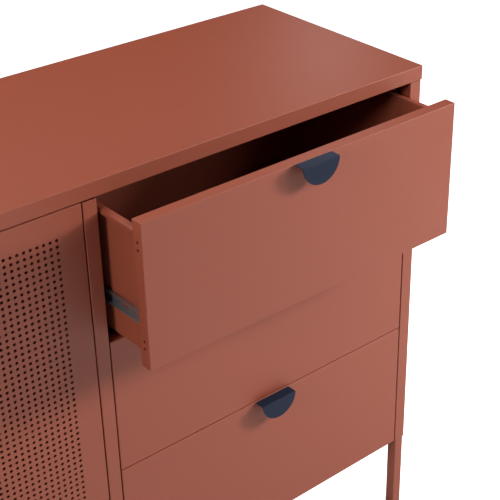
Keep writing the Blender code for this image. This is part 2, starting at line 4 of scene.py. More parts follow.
import bmesh
import bpy
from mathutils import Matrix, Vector


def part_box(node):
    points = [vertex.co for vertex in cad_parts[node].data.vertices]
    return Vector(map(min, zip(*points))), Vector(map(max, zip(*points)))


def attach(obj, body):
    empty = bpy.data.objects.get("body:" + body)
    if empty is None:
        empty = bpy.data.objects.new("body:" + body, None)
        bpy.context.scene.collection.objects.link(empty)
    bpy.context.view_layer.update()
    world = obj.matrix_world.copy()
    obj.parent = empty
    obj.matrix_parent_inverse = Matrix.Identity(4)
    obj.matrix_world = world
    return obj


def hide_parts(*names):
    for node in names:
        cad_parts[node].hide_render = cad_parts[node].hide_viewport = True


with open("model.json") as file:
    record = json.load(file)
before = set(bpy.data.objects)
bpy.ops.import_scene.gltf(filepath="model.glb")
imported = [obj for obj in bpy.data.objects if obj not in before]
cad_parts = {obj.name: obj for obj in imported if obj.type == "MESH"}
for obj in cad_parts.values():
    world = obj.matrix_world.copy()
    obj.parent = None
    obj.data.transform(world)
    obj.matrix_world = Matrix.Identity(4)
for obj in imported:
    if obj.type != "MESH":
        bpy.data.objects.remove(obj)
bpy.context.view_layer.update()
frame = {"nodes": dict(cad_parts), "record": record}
bodies = frame["record"]["behaviour"]["bodies"]
bodyOf = {node: body for body, members in bodies.items() for node in members}
slotOf = {entry["node"]: entry["material_slot"] for entry in frame["record"]["subparts"]}
sideNames = ("left", "right")
sideWays = (("left", 1), ("right", -1))  # each side of a bay, and the way along x into the bay
rowNames = ("front", "back")
drawerNames = ("bottom", "middle", "top")
print("frame loaded:", len(frame["nodes"]), "solids")

# finishes

coatTexture = {
    "patches": {"Detail": 3.0, "Roughness": 0.6},
    "grain": {"Detail": 2.0, "Roughness": 0.5},
    "haze": {"Scale": 38.0, "Detail": 2.0, "Roughness": 0.55},
    "hazeMiddle": 0.5,
    "bumpStrength": 0.35,
}
terracottaCoat = {
    "colour": (0.280, 0.0605, 0.0285),
    "patch": (0.271, 0.0580, 0.0272),
    "patchScale": 4.0,
    "grainScale": 620.0,
    "roughness": 0.54,
    "roughnessSpread": 0.05,
    "grainDepth": 0.00006,
    "specular": 0.50,
}
navyCoat = {
    "colour": (0.0116, 0.0179, 0.0385),
    "patch": (0.0108, 0.0167, 0.0362),
    "patchScale": 30.0,
    "grainScale": 700.0,
    "roughness": 0.48,
    "roughnessSpread": 0.05,
    "grainDepth": 0.00005,
    "specular": 0.12,
}
blackMoulding = {
    "colour": (0.018, 0.018, 0.019),
    "patch": (0.026, 0.026, 0.027),
    "patchScale": 60.0,
    "grainScale": 1400.0,
    "roughness": 0.55,
    "roughnessSpread": 0.08,
    "grainDepth": 0.00008,
    "specular": 0.5,
}
zincPlate = {
    "colour": (0.48, 0.48, 0.50),
    "streak": (0.36, 0.36, 0.38),
    "streakScale": (520.0, 5.0, 520.0),
    "streakNoise": {"Scale": 1.0, "Detail": 3.0, "Roughness": 0.6},
    "metal": 0.95,
    "roughness": 0.40,
    "roughnessSpread": 0.14,
}
mixSocket = {"factor": 0, "first": 6, "second": 7, "result": 2}  # places of a Mix node's colour sockets


def addNode(tree, kind, x, y, **values):
    made = tree.nodes.new(kind)
    made.location = (x, y)
    for name, value in values.items():
        made.inputs[name].default_value = value
    return made


def addColourMix(tree, x, y):
    made = addNode(tree, "ShaderNodeMix", x, y)
    made.data_type = "RGBA"
    return made


def makeGrainGroup(look):
    tree = bpy.data.node_groups.new("coatGrain", "ShaderNodeTree")
    sockets = (
        ("INPUT", "NodeSocketColor", ("Colour", "Patch")),
        ("INPUT", "NodeSocketFloat", ("Patch Scale", "Grain Scale", "Roughness", "Spread")),
        ("OUTPUT", "NodeSocketColor", ("Colour",)),
        ("OUTPUT", "NodeSocketFloat", ("Roughness", "Height")),
    )
    for way, kind, names in sockets:
        for name in names:
            tree.interface.new_socket(name=name, in_out=way, socket_type=kind)
    given = addNode(tree, "NodeGroupInput", -800, 0)
    shown = addNode(tree, "NodeGroupOutput", 500, 0)
    place = addNode(tree, "ShaderNodeTexCoord", -800, -300)
    patches = addNode(tree, "ShaderNodeTexNoise", -500, 200, **look["patches"])
    grain = addNode(tree, "ShaderNodeTexNoise", -500, -100, **look["grain"])
    haze = addNode(tree, "ShaderNodeTexNoise", -500, -400, **look["haze"])
    blend = addColourMix(tree, -100, 200)
    spread = addNode(tree, "ShaderNodeMath", -300, -400)
    spread.operation = "SUBTRACT"
    spread.inputs[1].default_value = look["hazeMiddle"]
    finish = addNode(tree, "ShaderNodeMath", 0, -300)
    finish.operation = "MULTIPLY_ADD"
    link = tree.links.new
    for texture in (patches, grain, haze):
        link(place.outputs["Object"], texture.inputs["Vector"])
    link(given.outputs["Patch Scale"], patches.inputs["Scale"])
    link(given.outputs["Grain Scale"], grain.inputs["Scale"])
    link(patches.outputs["Fac"], blend.inputs[mixSocket["factor"]])
    link(given.outputs["Colour"], blend.inputs[mixSocket["first"]])
    link(given.outputs["Patch"], blend.inputs[mixSocket["second"]])
    link(haze.outputs["Fac"], spread.inputs[0])
    link(spread.outputs[0], finish.inputs[0])
    link(given.outputs["Spread"], finish.inputs[1])
    link(given.outputs["Roughness"], finish.inputs[2])
    link(blend.outputs[mixSocket["result"]], shown.inputs["Colour"])
    link(finish.outputs[0], shown.inputs["Roughness"])
    link(grain.outputs["Fac"], shown.inputs["Height"])
    return tree


grainGroup = makeGrainGroup(coatTexture)


def makeCoat(name, look):
    made = bpy.data.materials.new(name)
    made.use_nodes = True
    tree = made.node_tree
    shader = tree.nodes["Principled BSDF"]
    coat = addNode(tree, "ShaderNodeGroup", -600, 100)
    coat.node_tree = grainGroup
    coat.inputs["Colour"].default_value = (*look["colour"], 1)
    coat.inputs["Patch"].default_value = (*look["patch"], 1)
    coat.inputs["Patch Scale"].default_value = look["patchScale"]
    coat.inputs["Grain Scale"].default_value = look["grainScale"]
    coat.inputs["Roughness"].default_value = look["roughness"]
    coat.inputs["Spread"].default_value = look["roughnessSpread"]
    bump = addNode(tree, "ShaderNodeBump", -300, -200)
    bump.inputs["Strength"].default_value = coatTexture["bumpStrength"]
    bump.inputs["Distance"].default_value = look["grainDepth"]
    shader.inputs["Specular IOR Level"].default_value = look["specular"]
    tree.links.new(coat.outputs["Colour"], shader.inputs["Base Color"])
    tree.links.new(coat.outputs["Roughness"], shader.inputs["Roughness"])
    tree.links.new(coat.outputs["Height"], bump.inputs["Height"])
    tree.links.new(bump.outputs["Normal"], shader.inputs["Normal"])
    made.diffuse_color = (*look["colour"], 1)
    return made


def makeZinc(name, look):
    made = bpy.data.materials.new(name)
    made.use_nodes = True
    tree = made.node_tree
    shader = tree.nodes["Principled BSDF"]
    shader.inputs["Metallic"].default_value = look["metal"]
    place = addNode(tree, "ShaderNodeTexCoord", -1100, 0)
    stretch = addNode(tree, "ShaderNodeMapping", -900, 0, Scale=look["streakScale"])
    streaks = addNode(tree, "ShaderNodeTexNoise", -700, 0, **look["streakNoise"])
    tone = addColourMix(tree, -400, 150)
    tone.inputs[mixSocket["first"]].default_value = (*look["colour"], 1)
    tone.inputs[mixSocket["second"]].default_value = (*look["streak"], 1)
    gloss = addNode(tree, "ShaderNodeMapRange", -400, -150)
    gloss.inputs["To Min"].default_value = look["roughness"] - look["roughnessSpread"] / 2
    gloss.inputs["To Max"].default_value = look["roughness"] + look["roughnessSpread"] / 2
    link = tree.links.new
    link(place.outputs["Object"], stretch.inputs["Vector"])
    link(stretch.outputs["Vector"], streaks.inputs["Vector"])
    link(streaks.outputs["Fac"], tone.inputs[mixSocket["factor"]])
    link(streaks.outputs["Fac"], gloss.inputs["Value"])
    link(tone.outputs[mixSocket["result"]], shader.inputs["Base Color"])
    link(gloss.outputs["Result"], shader.inputs["Roughness"])
    made.diffuse_color = (*look["colour"], 1)
    return made


finishes = {
    "powder_coat": makeCoat("terracottaCoat", terracottaCoat),
    "handle_coat": makeCoat("navyCoat", navyCoat),
    "zinc_steel": makeZinc("zincPlate", zincPlate),
    "black_plastic": makeCoat("blackMoulding", blackMoulding),
}
print("finishes made:", len(finishes))

# bench: the moves that every piece uses

sheetSteel = {"thickness": 0.0010, "foldRadius": 0.0011, "foldSteps": 4, "smoothAngle": 35}
folding = {"foldAngle": 40, "edgeAngle": 60, "edgeSteps": 2}
facing = 0.9  # least share of a normal along the way that its face looks
closeBy = 0.00001  # a point this near to a line or plane lies on it
turnToFront = (math.pi / 2, 0, 0)
turnToSide = (0, math.pi / 2, 0)


def deselect():
    bpy.ops.object.select_all(action="DESELECT")


def settle():
    bpy.ops.object.transform_apply(location=True, rotation=True, scale=True)


def alone(made):
    if bpy.context.mode != "OBJECT":
        bpy.ops.object.mode_set(mode="OBJECT")
    deselect()
    made.select_set(True)
    bpy.context.view_layer.objects.active = made


def applyModifier(made, kind, **values):
    alone(made)
    added = made.modifiers.new(kind.lower(), kind)
    for name, value in values.items():
        setattr(added, name, value)
    bpy.ops.object.modifier_apply(modifier=added.name)


def addBox(name, low, high):
    deselect()
    bpy.ops.mesh.primitive_cube_add(size=1, location=(low + high) / 2)
    made = bpy.context.object
    made.name = name
    made.scale = high - low
    settle()
    return made


def addCylinder(name, place, radius, depth, turn=(0, 0, 0), sides=28):
    deselect()
    bpy.ops.mesh.primitive_cylinder_add(
        vertices=sides, radius=radius, depth=depth, location=place, rotation=turn
    )
    made = bpy.context.object
    made.name = name
    settle()
    return made


def startPick(made, kind):
    alone(made)
    bpy.ops.object.mode_set(mode="EDIT")
    bpy.ops.mesh.select_mode(type=kind)
    bpy.ops.mesh.select_all(action="DESELECT")
    return bmesh.from_edit_mesh(made.data)


def pickFaces(made, test):
    shape = startPick(made, "FACE")
    for face in shape.faces:
        face.select_set(bool(test(face.calc_center_median(), face.normal)))
    bmesh.update_edit_mesh(made.data)


def pickEdges(made, onLine, rimOnly=False):
    shape = startPick(made, "EDGE")
    for edge in shape.edges:
        wanted = edge.is_boundary or not rimOnly
        edge.select_set(wanted and all(onLine(vertex.co) for vertex in edge.verts))
    bmesh.update_edit_mesh(made.data)


def pickPoints(made, test):
    shape = startPick(made, "VERT")
    for vertex in shape.verts:
        vertex.select_set(bool(test(vertex.co)))
    shape.select_flush_mode()
    bmesh.update_edit_mesh(made.data)


def dropFaces(made, test):
    pickFaces(made, test)
    bpy.ops.mesh.delete(type="FACE")
    bpy.ops.object.mode_set(mode="OBJECT")


def extrudeEdges(x, y, z):
    bpy.ops.mesh.extrude_edges_move(TRANSFORM_OT_translate={"value": (x, y, z)})


def roundEdges(made, width, steps, angle=30):
    applyModifier(
        made, "BEVEL", limit_method="ANGLE", angle_limit=math.radians(angle), width=width, segments=steps
    )


def smooth(made, angle=sheetSteel["smoothAngle"]):
    alone(made)
    bpy.ops.object.shade_smooth_by_angle(angle=math.radians(angle))
    applyModifier(made, "WEIGHTED_NORMAL", keep_sharp=True)


def foldSheet(made, look=sheetSteel, softEdge=0.0):
    roundEdges(made, look["foldRadius"], look["foldSteps"], folding["foldAngle"])
    applyModifier(
        made,
        "SOLIDIFY",
        thickness=look["thickness"],
        offset=-1,
        use_even_offset=True,
        use_quality_normals=True,
    )
    if softEdge:
        roundEdges(made, softEdge, folding["edgeSteps"], folding["edgeAngle"])
    smooth(made, look["smoothAngle"])


def joinAll(name, parts):
    deselect()
    for part in parts:
        part.select_set(True)
    bpy.context.view_layer.objects.active = parts[0]
    if len(parts) > 1:
        bpy.ops.object.join()
    made = bpy.context.object
    made.name = name
    return made


def cutAway(made, cutters):
    tool = joinAll("cutter", cutters)
    applyModifier(made, "BOOLEAN", operation="DIFFERENCE", solver="EXACT", object=tool)
    bpy.data.objects.remove(tool, do_unlink=True)


def copyTo(master, shift):
    alone(master)
    bpy.ops.object.duplicate(linked=False)
    made = bpy.context.object
    made.location = shift
    settle()
    return made


def faceAwayFrom(made, inside):
    alone(made)
    bpy.ops.object.mode_set(mode="EDIT")
    bpy.ops.mesh.select_all(action="SELECT")
    bpy.ops.mesh.normals_make_consistent(inside=False)
    bpy.ops.object.mode_set(mode="OBJECT")
    first = made.data.polygons[0]
    if first.normal.dot(Vector(inside) - first.center) > 0:
        bpy.ops.object.mode_set(mode="EDIT")
        bpy.ops.mesh.flip_normals()
        bpy.ops.object.mode_set(mode="OBJECT")


def foldedStrip(name, path, levels, rise, inside):
    path = [Vector(point) for point in path]
    deselect()
    bpy.ops.mesh.primitive_plane_add(size=0.001, location=path[0])  # merged to the path's first point
    made = bpy.context.object
    made.name = name
    settle()
    bpy.ops.object.mode_set(mode="EDIT")
    bpy.ops.mesh.select_mode(type="VERT")
    bpy.ops.mesh.select_all(action="SELECT")
    bpy.ops.mesh.merge(type="CENTER")
    for here, there in zip(path, path[1:]):
        bpy.ops.mesh.extrude_region_move(TRANSFORM_OT_translate={"value": there - here})
    bpy.ops.mesh.select_all(action="SELECT")
    for here, there in zip(levels, levels[1:]):
        bpy.ops.mesh.extrude_region_move(TRANSFORM_OT_translate={"value": Vector(rise) * (there - here)})
    bpy.ops.object.mode_set(mode="OBJECT")
    faceAwayFrom(made, inside)
    return made


def foldedPost(name, outline, levels, inside):
    path = [(x, y, levels[0]) for x, y in outline]
    return foldedStrip(name, path, levels, (0, 0, 1), inside)


def alongX(low, high, way):
    return (low.x, high.x) if way > 0 else (high.x, low.x)


def coatWith(made, slotName):
    made.data.materials.clear()
    made.data.materials.append(finishes[slotName])


def standFor(made, node):
    coatWith(made, slotOf[node])
    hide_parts(node)
    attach(made, bodyOf[node])
    return made


def addDetail(made, body, slotName):
    coatWith(made, slotName)
    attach(made, body)
    return made


def capital(*words):
    return "".join(word.capitalize() for word in words)


# carcass

topCap = {"lip": 0.020, "frontLip": 0.040, "pivotHole": 0.0033, "pivotHoleDepth": 0.008}
low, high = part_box("top_panel")
middle = (low + high) / 2
innerFront = low.y + topCap["lip"]
topPanel = addBox("topPanel", low, high)
pickFaces(topPanel, lambda centre, normal: normal.z < -facing)
bpy.ops.mesh.inset(thickness=topCap["lip"], depth=0)
pickEdges(topPanel, lambda p: p.z < low.z + closeBy and abs(p.y - innerFront) < closeBy)
bpy.ops.transform.translate(value=(0, topCap["frontLip"] - topCap["lip"], 0))
bpy.ops.object.mode_set(mode="OBJECT")


def insideTheLips(centre, normal):
    return normal.z < -facing and (centre.xy - middle.xy).length < topCap["frontLip"]


dropFaces(topPanel, insideTheLips)
foldSheet(topPanel)
pivotHoles = []
for side in sideNames:
    pinLow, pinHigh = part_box(f"door_pivot_upper_{side}")
    pin = (pinLow + pinHigh) / 2
    place = (pin.x, pin.y, low.z)
    pivotHoles.append(addCylinder("pivotHole", place, topCap["pivotHole"], topCap["pivotHoleDepth"]))
cutAway(topPanel, pivotHoles)
standFor(topPanel, "top_panel")

bayWalls = {"backFlange": 0.016, "postReturn": 0.020, "notch": 0.0285, "clear": 0.0003}
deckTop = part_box("bottom_panel")[1].z
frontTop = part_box("drawer_front_top")[1].z
for side, way in sideWays:
    node = f"side_panel_{side}"
    low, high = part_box(node)
    outer, inner = alongX(low, high, way)
    outline = (
        (outer + way * bayWalls["backFlange"], high.y),
        (outer, high.y),
        (outer, low.y),
        (inner, low.y),
        (inner, low.y + bayWalls["postReturn"]),
    )
    panel = foldedPost("sidePanel" + capital(side), outline, (low.z, high.z), (low + high) / 2)
    foldSheet(panel)
    standFor(panel, node)

low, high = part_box("divider_panel")
notchAt = low.y + bayWalls["notch"]
outline = (
    (low.x + bayWalls["backFlange"], high.y),
    (low.x, high.y),
    (low.x, notchAt),
    (low.x, low.y),
    (high.x, low.y),
    (high.x, low.y + bayWalls["postReturn"]),
)
levels = (low.z, deckTop + bayWalls["clear"], frontTop, high.z)
dividerPanel = foldedPost("dividerPanel", outline, levels, (low + high) / 2)
dropFaces(dividerPanel, lambda centre, normal: centre.z < deckTop and centre.y > notchAt)
dropFaces(dividerPanel, lambda centre, normal: centre.z > frontTop and centre.y < notchAt)
foldSheet(dividerPanel)
standFor(dividerPanel, "divider_panel")

flatPans = {"lip": 0.012}
for node, name in (("bottom_panel", "bottomPanel"), ("shelf", "shelfPanel")):
    pan = addBox(name, *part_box(node))
    pickFaces(pan, lambda centre, normal: normal.z < -facing)
    bpy.ops.mesh.inset(thickness=flatPans["lip"], depth=0)
    bpy.ops.mesh.delete(type="FACE")
    bpy.ops.object.mode_set(mode="OBJECT")
    foldSheet(pan)
    standFor(pan, node)

backSheet = {
    "edge": 0.0002,
    "edgeSteps": 2,
    "rivetRadius": 0.0031,
    "rivetHeight": 0.00028,
    "rivetSides": 20,
    "rivetRim": 0.0009,
    "rivetDimple": 0.0004,
    "rivetsUp": 6,
    "rivetInset": 0.008,
    "rivetMargin": 0.035,
}
low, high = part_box("back_panel")
backPanel = addBox("backPanel", low, high)
roundEdges(backPanel, backSheet["edge"], backSheet["edgeSteps"])
smooth(backPanel)
standFor(backPanel, "back_panel")
rivetInset = backSheet["rivetInset"]
rivetColumns = (low.x + rivetInset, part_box("divider_panel")[0].x + rivetInset, high.x - rivetInset)
rivetReach = high.z - low.z - 2 * backSheet["rivetMargin"]
rivetSize = (backSheet["rivetRadius"], backSheet["rivetHeight"])
rivets = []
for x in rivetColumns:
    for step in range(backSheet["rivetsUp"]):
        z = low.z + backSheet["rivetMargin"] + step * rivetReach / (backSheet["rivetsUp"] - 1)
        place = (x, high.y + backSheet["rivetHeight"] / 2, z)
        rivet = addCylinder("rivet", place, *rivetSize, turnToFront, backSheet["rivetSides"])
        pickFaces(rivet, lambda centre, normal: normal.y > facing)
        bpy.ops.mesh.inset(thickness=backSheet["rivetRim"], depth=0)
        bpy.ops.mesh.inset(thickness=backSheet["rivetDimple"], depth=-backSheet["rivetDimple"])
        bpy.ops.object.mode_set(mode="OBJECT")
        rivets.append(rivet)
backRivets = joinAll("backRivets", rivets)
smooth(backRivets)
addDetail(backRivets, "cabinet", "powder_coat")

slideHats = {"flange": 0.010}
for row in rowNames:
    for side, way in sideWays:
        node = f"slide_upright_{row}_{side}"
        low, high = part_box(node)
        wall, crown = alongX(low, high, way)
        flange = wall + way * sheetSteel["thickness"]
        near, far = low.y + slideHats["flange"], high.y - slideHats["flange"]
        outline = (
            (flange, low.y),
            (flange, near),
            (crown, near),
            (crown, far),
            (flange, far),
            (flange, high.y),
        )
        name = "slideUpright" + capital(row, side)
        hat = foldedPost(name, outline, (low.z, high.z), (wall, low.y, low.z))
        foldSheet(hat)
        standFor(hat, node)

for side, way in sideWays:
    node = f"shelf_rail_{side}"
    low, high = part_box(node)
    wall, ledge = alongX(low, high, way)
    section = [(ledge, low.y, high.z), (wall, low.y, high.z), (wall, low.y, low.z)]
    inside = ((wall + ledge) / 2, (low.y + high.y) / 2, low.z)
    rail = foldedStrip("shelfRail" + capital(side), section, (low.y, high.y), (0, 1, 0), inside)
    foldSheet(rail)
    standFor(rail, node)

legTube = {"thickness": 0.0015, "foldRadius": 0.0022, "foldSteps": 4, "smoothAngle": 35}
for row in rowNames:
    for side in sideNames:
        node = f"leg_{row}_{side}"
        leg = addBox("leg" + capital(row, side), *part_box(node))
        dropFaces(leg, lambda centre, normal: abs(normal.z) > facing)
        foldSheet(leg, legTube)
        standFor(leg, node)

catchBlock = {
    "edge": 0.0015,
    "edgeSteps": 3,
    "pole": 0.003,
    "poleInset": 0.008,
    "poleMargin": 0.002,
    "poleSunk": 0.004,
    "proud": 0.00015,
    "poleEdge": 0.0001,
}
low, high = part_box("door_catch")
doorCatch = addBox("doorCatch", low, high)
roundEdges(doorCatch, catchBlock["edge"], catchBlock["edgeSteps"])
smooth(doorCatch)
standFor(doorCatch, "door_catch")
poleFront, poleBack = low.y - catchBlock["proud"], low.y + catchBlock["poleSunk"]
poleBottom, poleTop = low.z + catchBlock["poleMargin"], high.z - catchBlock["poleMargin"]
poles = []
for x in (low.x + catchBlock["poleInset"], high.x - catchBlock["poleInset"] - catchBlock["pole"]):
    poleLow = Vector((x, poleFront, poleBottom))
    poleHigh = Vector((x + catchBlock["pole"], poleBack, poleTop))
    poles.append(addBox("pole", poleLow, poleHigh))
catchPoles = joinAll("catchPoles", poles)
roundEdges(catchPoles, catchBlock["poleEdge"], 1)
addDetail(catchPoles, "cabinet", "zinc_steel")

for side in sideNames:  # the solids of these pieces show as they are
    frame["nodes"][f"pivot_plate_{side}"].data.materials[0] = finishes["powder_coat"]
    for row in rowNames:
        frame["nodes"][f"glide_{row}_{side}"].data.materials[0] = finishes["black_plastic"]
print("carcass made")

# handles: half-moon plate, ledge and tab

handlePlate = {
    "thickness": 0.0015,
    "foldRadius": 0.0017,
    "foldSteps": 6,
    "smoothAngle": 35,
    "arcSides": 96,
    "tab": 0.012,
    "tabWidth": 0.038,
    "clear": 0.0003,
    "softEdge": 0.00025,
    "rivetRadius": 0.0024,
    "rivetHeight": 0.0009,
    "rivetSides": 20,
    "rivetSpread": 0.012,
    "rivetDrop": 0.0072,
    "rivetRound": 0.45,  # share of the height
    "rivetRoundSteps": 3,
    "rivetSmoothAngle": 50,
}


def buildHandle(name, radius, projection):
    # flat edge on top at z 0, drawer face at y 0
    look = handlePlate
    deselect()
    bpy.ops.mesh.primitive_circle_add(
        vertices=look["arcSides"],
        radius=radius,
        fill_type="NGON",
        location=(0, -projection, 0),
        rotation=turnToFront,
    )
    made = bpy.context.object
    made.name = name
    settle()
    bpy.ops.object.mode_set(mode="EDIT")
    bpy.ops.mesh.select_all(action="SELECT")
    bpy.ops.mesh.bisect(plane_co=(0, 0, 0), plane_no=(0, 0, 1), clear_outer=True)
    bpy.ops.object.mode_set(mode="OBJECT")
    pickEdges(made, lambda p: abs(p.z) < closeBy)
    extrudeEdges(0, projection - look["clear"], 0)
    extrudeEdges(0, 0, -look["tab"])
    narrowing = look["tabWidth"] / 2 / radius
    bpy.ops.transform.resize(value=(narrowing, 1, 1), center_override=(0, 0, -look["tab"]))
    bpy.ops.object.mode_set(mode="OBJECT")
    faceAwayFrom(made, (0, -projection / 2, -look["tab"]))
    foldSheet(made, look, look["softEdge"])
    return made


def buildHandleRivets(name):
    look = handlePlate
    made = []
    y = -look["clear"] - look["thickness"] - look["rivetHeight"] / 2
    for x in (-look["rivetSpread"], look["rivetSpread"]):
        place = (x, y, -look["rivetDrop"])
        rivet = addCylinder(
            "rivet", place, look["rivetRadius"], look["rivetHeight"], turnToFront, look["rivetSides"]
        )
        roundEdges(rivet, look["rivetHeight"] * look["rivetRound"], look["rivetRoundSteps"])
        made.append(rivet)
    rivets = joinAll(name, made)
    smooth(rivets, look["rivetSmoothAngle"])
    return rivets


def placeTurned(made, turn, place):
    alone(made)
    made.rotation_euler = (0, turn, 0)
    made.location = place
    settle()


handlePlaces = []
for name in drawerNames:
    low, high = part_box(f"drawer_handle_{name}")
    place = ((low.x + high.x) / 2, high.y + handlePlate["clear"], high.z)
    handlePlaces.append((f"drawer_handle_{name}", "drawerHandle" + capital(name), 0.0, place))
for side, way in sideWays:
    low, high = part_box(f"door_handle_{side}")
    edge = alongX(low, high, way)[1]
    place = (edge, high.y + handlePlate["clear"], (low.z + high.z) / 2)
    handlePlaces.append((f"door_handle_{side}", "doorHandle" + capital(side), way * math.pi / 2, place))
for node, name, turn, place in handlePlaces:
    low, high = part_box(node)
    handle = buildHandle(name, max(high.x - low.x, high.z - low.z) / 2, place[1] - low.y)
    placeTurned(handle, turn, place)
    standFor(handle, node)
    rivets = buildHandleRivets(name + "Rivets")
    placeTurned(rivets, turn, place)
    addDetail(rivets, bodyOf[node], "handle_coat")
print("handles made:", len(handlePlaces))

# doors: perforated pans on pivots

perforatedDoor = {
    "columns": 19,
    "rows": 65,
    "pitch": 0.00992,
    "holeRadius": 0.0025,
    "holeSides": 12,
    "mergeWithin": 0.00005,
    "rimBand": 0.0005,
    "lip": 0.012,
}


def buildDoor(name, node):
    look = perforatedDoor
    low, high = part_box(node)
    centre = (low + high) / 2
    pitch = look["pitch"]
    firstX = centre.x - (look["columns"] - 1) * pitch / 2
    firstZ = centre.z - (look["rows"] - 1) * pitch / 2
    first = Vector((firstX, low.y, firstZ))
    across = look["holeSides"] // 4
    deselect()
    bpy.ops.mesh.primitive_grid_add(
        x_subdivisions=across, y_subdivisions=across, size=pitch, location=first, rotation=turnToFront
    )
    made = bpy.context.object
    made.name = name
    settle()
    # one cell: the grid's outline bridged to a round hole
    pickPoints(made, lambda p: max(abs(p.x - first.x), abs(p.z - first.z)) < pitch / 2 - closeBy)
    bpy.ops.mesh.delete(type="VERT")
    bpy.ops.mesh.primitive_circle_add(
        vertices=look["holeSides"],
        radius=look["holeRadius"],
        fill_type="NOTHING",
        location=first,
        rotation=(math.pi / 2, math.pi / look["holeSides"], 0),
    )
    bpy.ops.mesh.select_mode(type="EDGE")
    bpy.ops.mesh.select_all(action="SELECT")
    bpy.ops.mesh.bridge_edge_loops()
    bpy.ops.object.mode_set(mode="OBJECT")
    for count, step in ((look["columns"], (pitch, 0, 0)), (look["rows"], (0, 0, pitch))):
        applyModifier(
            made,
            "ARRAY",
            count=count,
            use_relative_offset=False,
            use_constant_offset=True,
            constant_offset_displace=step,
            use_merge_vertices=True,
            merge_threshold=look["mergeWithin"],
        )
    # plain margin, flanges and lips, drawn out from the edge of the hole field
    fieldX = look["columns"] * pitch / 2
    fieldZ = look["rows"] * pitch / 2
    halfX, halfZ = high.x - centre.x, high.z - centre.z
    pivot = (centre.x, low.y, centre.z)
    lip = look["lip"]

    def onFieldEdge(p):
        toEdge = min(fieldX - abs(p.x - centre.x), fieldZ - abs(p.z - centre.z))
        return toEdge < look["rimBand"]

    pickEdges(made, onFieldEdge, rimOnly=True)
    bpy.ops.mesh.extrude_edges_move()
    bpy.ops.transform.resize(value=(halfX / fieldX, 1, halfZ / fieldZ), center_override=pivot)
    extrudeEdges(0, high.y - low.y, 0)
    bpy.ops.mesh.extrude_edges_move()
    bpy.ops.transform.resize(value=((halfX - lip) / halfX, 1, (halfZ - lip) / halfZ), center_override=pivot)
    bpy.ops.object.mode_set(mode="OBJECT")
    faceAwayFrom(made, (centre.x, high.y, centre.z))
    foldSheet(made)
    return made


pivotPin = {"shaft": 0.003, "collar": 0.003, "edge": 0.0004, "edgeSteps": 2}
for side in sideNames:
    node = f"door_panel_{side}"
    door = buildDoor("doorPanel" + capital(side), node)
    standFor(door, node)
    print(door.name, len(door.data.polygons), "faces")
    for end in ("upper", "lower"):
        node = f"door_pivot_{end}_{side}"
        low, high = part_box(node)
        middle = (low + high) / 2
        shaft = addCylinder("shaft", middle, pivotPin["shaft"], high.z - low.z)
        half = pivotPin["collar"] / 2
        collarAt = (middle.x, middle.y, low.z + half if end == "upper" else high.z - half)
        collar = addCylinder("collar", collarAt, (high.x - low.x) / 2, pivotPin["collar"])
        for part in (shaft, collar):
            roundEdges(part, pivotPin["edge"], pivotPin["edgeSteps"])
        pin = joinAll("doorPivot" + capital(end, side), [shaft, collar])
        smooth(pin)
        standFor(pin, node)
print("doors made")

# drawers: fronts and trays

drawerFront = {
    "lip": 0.012,
    "holeRadius": 0.0022,
    "holeDepth": 0.008,
    "holeSides": 20,
    "holesFromEnd": (0.032, 0.044),
}
drawerTray = {"flange": 0.0095, "lip": 0.007}
for name in drawerNames:
    node = f"drawer_front_{name}"
    low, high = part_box(node)
    front = addBox("drawerFront" + capital(name), low, high)
    pickFaces(front, lambda centre, normal: normal.y > facing)
    bpy.ops.mesh.inset(thickness=drawerFront["lip"], depth=0)
    bpy.ops.mesh.delete(type="FACE")
    bpy.ops.object.mode_set(mode="OBJECT")
    foldSheet(front)
    holeSize = (drawerFront["holeRadius"], drawerFront["holeDepth"])
    holes = []
    for offset in drawerFront["holesFromEnd"]:
        for z in (low.z + offset, high.z - offset):
            for x in (low.x, high.x):
                place = (x, (low.y + high.y) / 2, z)
                holes.append(addCylinder("hole", place, *holeSize, turnToSide, drawerFront["holeSides"]))
    cutAway(front, holes)
    standFor(front, node)

    node = f"drawer_tray_{name}"
    low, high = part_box(node)
    thickness = sheetSteel["thickness"]
    inset = Vector((drawerTray["flange"], 0, 0))
    tray = addBox("drawerTray" + capital(name), low + inset, high - inset - Vector((0, 0, thickness)))
    dropFaces(tray, lambda centre, normal: normal.z > facing)
    rimZ = high.z - thickness
    for rimX, way in ((low.x + inset.x, -1), (high.x - inset.x, 1)):
        pickEdges(tray, lambda p: abs(p.x - rimX) + abs(p.z - rimZ) < closeBy, rimOnly=True)
        extrudeEdges(way * (drawerTray["flange"] - thickness), 0, 0)
        extrudeEdges(0, 0, thickness - drawerTray["lip"])
        bpy.ops.object.mode_set(mode="OBJECT")
    faceAwayFrom(tray, ((low.x + high.x) / 2, (low.y + high.y) / 2, high.z))
    foldSheet(tray)
    standFor(tray, node)
print("drawers made")

# ball-bearing slides: cabinet member, ball cage and drawer member

slideSteel = {"thickness": 0.0012, "foldRadius": 0.0016, "foldSteps": 4, "smoothAngle": 35}
ballRace = {"depth": 0.0008, "start": 0.45, "deepest": 0.72}  # shares of the lip, from the web
slideHoles = {
    "radius": 0.0021,
    "depth": 0.006,
    "sides": 20,
    "slot": 0.014,
    "fromFront": (0.104, 0.0485, 0.140, 0.176, 0.262, 0.330),
}
screwHead = {
    "radius": 0.0034,
    "height": 0.0015,
    "sides": 24,
    "edge": 0.0006,
    "edgeSteps": 3,
    "cross": 0.0036,
    "crossWidth": 0.0008,
    "fromFront": (0.122, 0.300),
}
ballCage = {"thickness": 0.0010, "foldRadius": 0.0008, "foldSteps": 3, "smoothAngle": 35}
ballRow = {
    "radius": 0.0017,
    "subdivisions": 2,
    "balls": 18,
    "window": 0.0018,
    "windowDepth": 0.003,
    "windowSides": 12,
    "fromLipEdge": 0.0003,
}


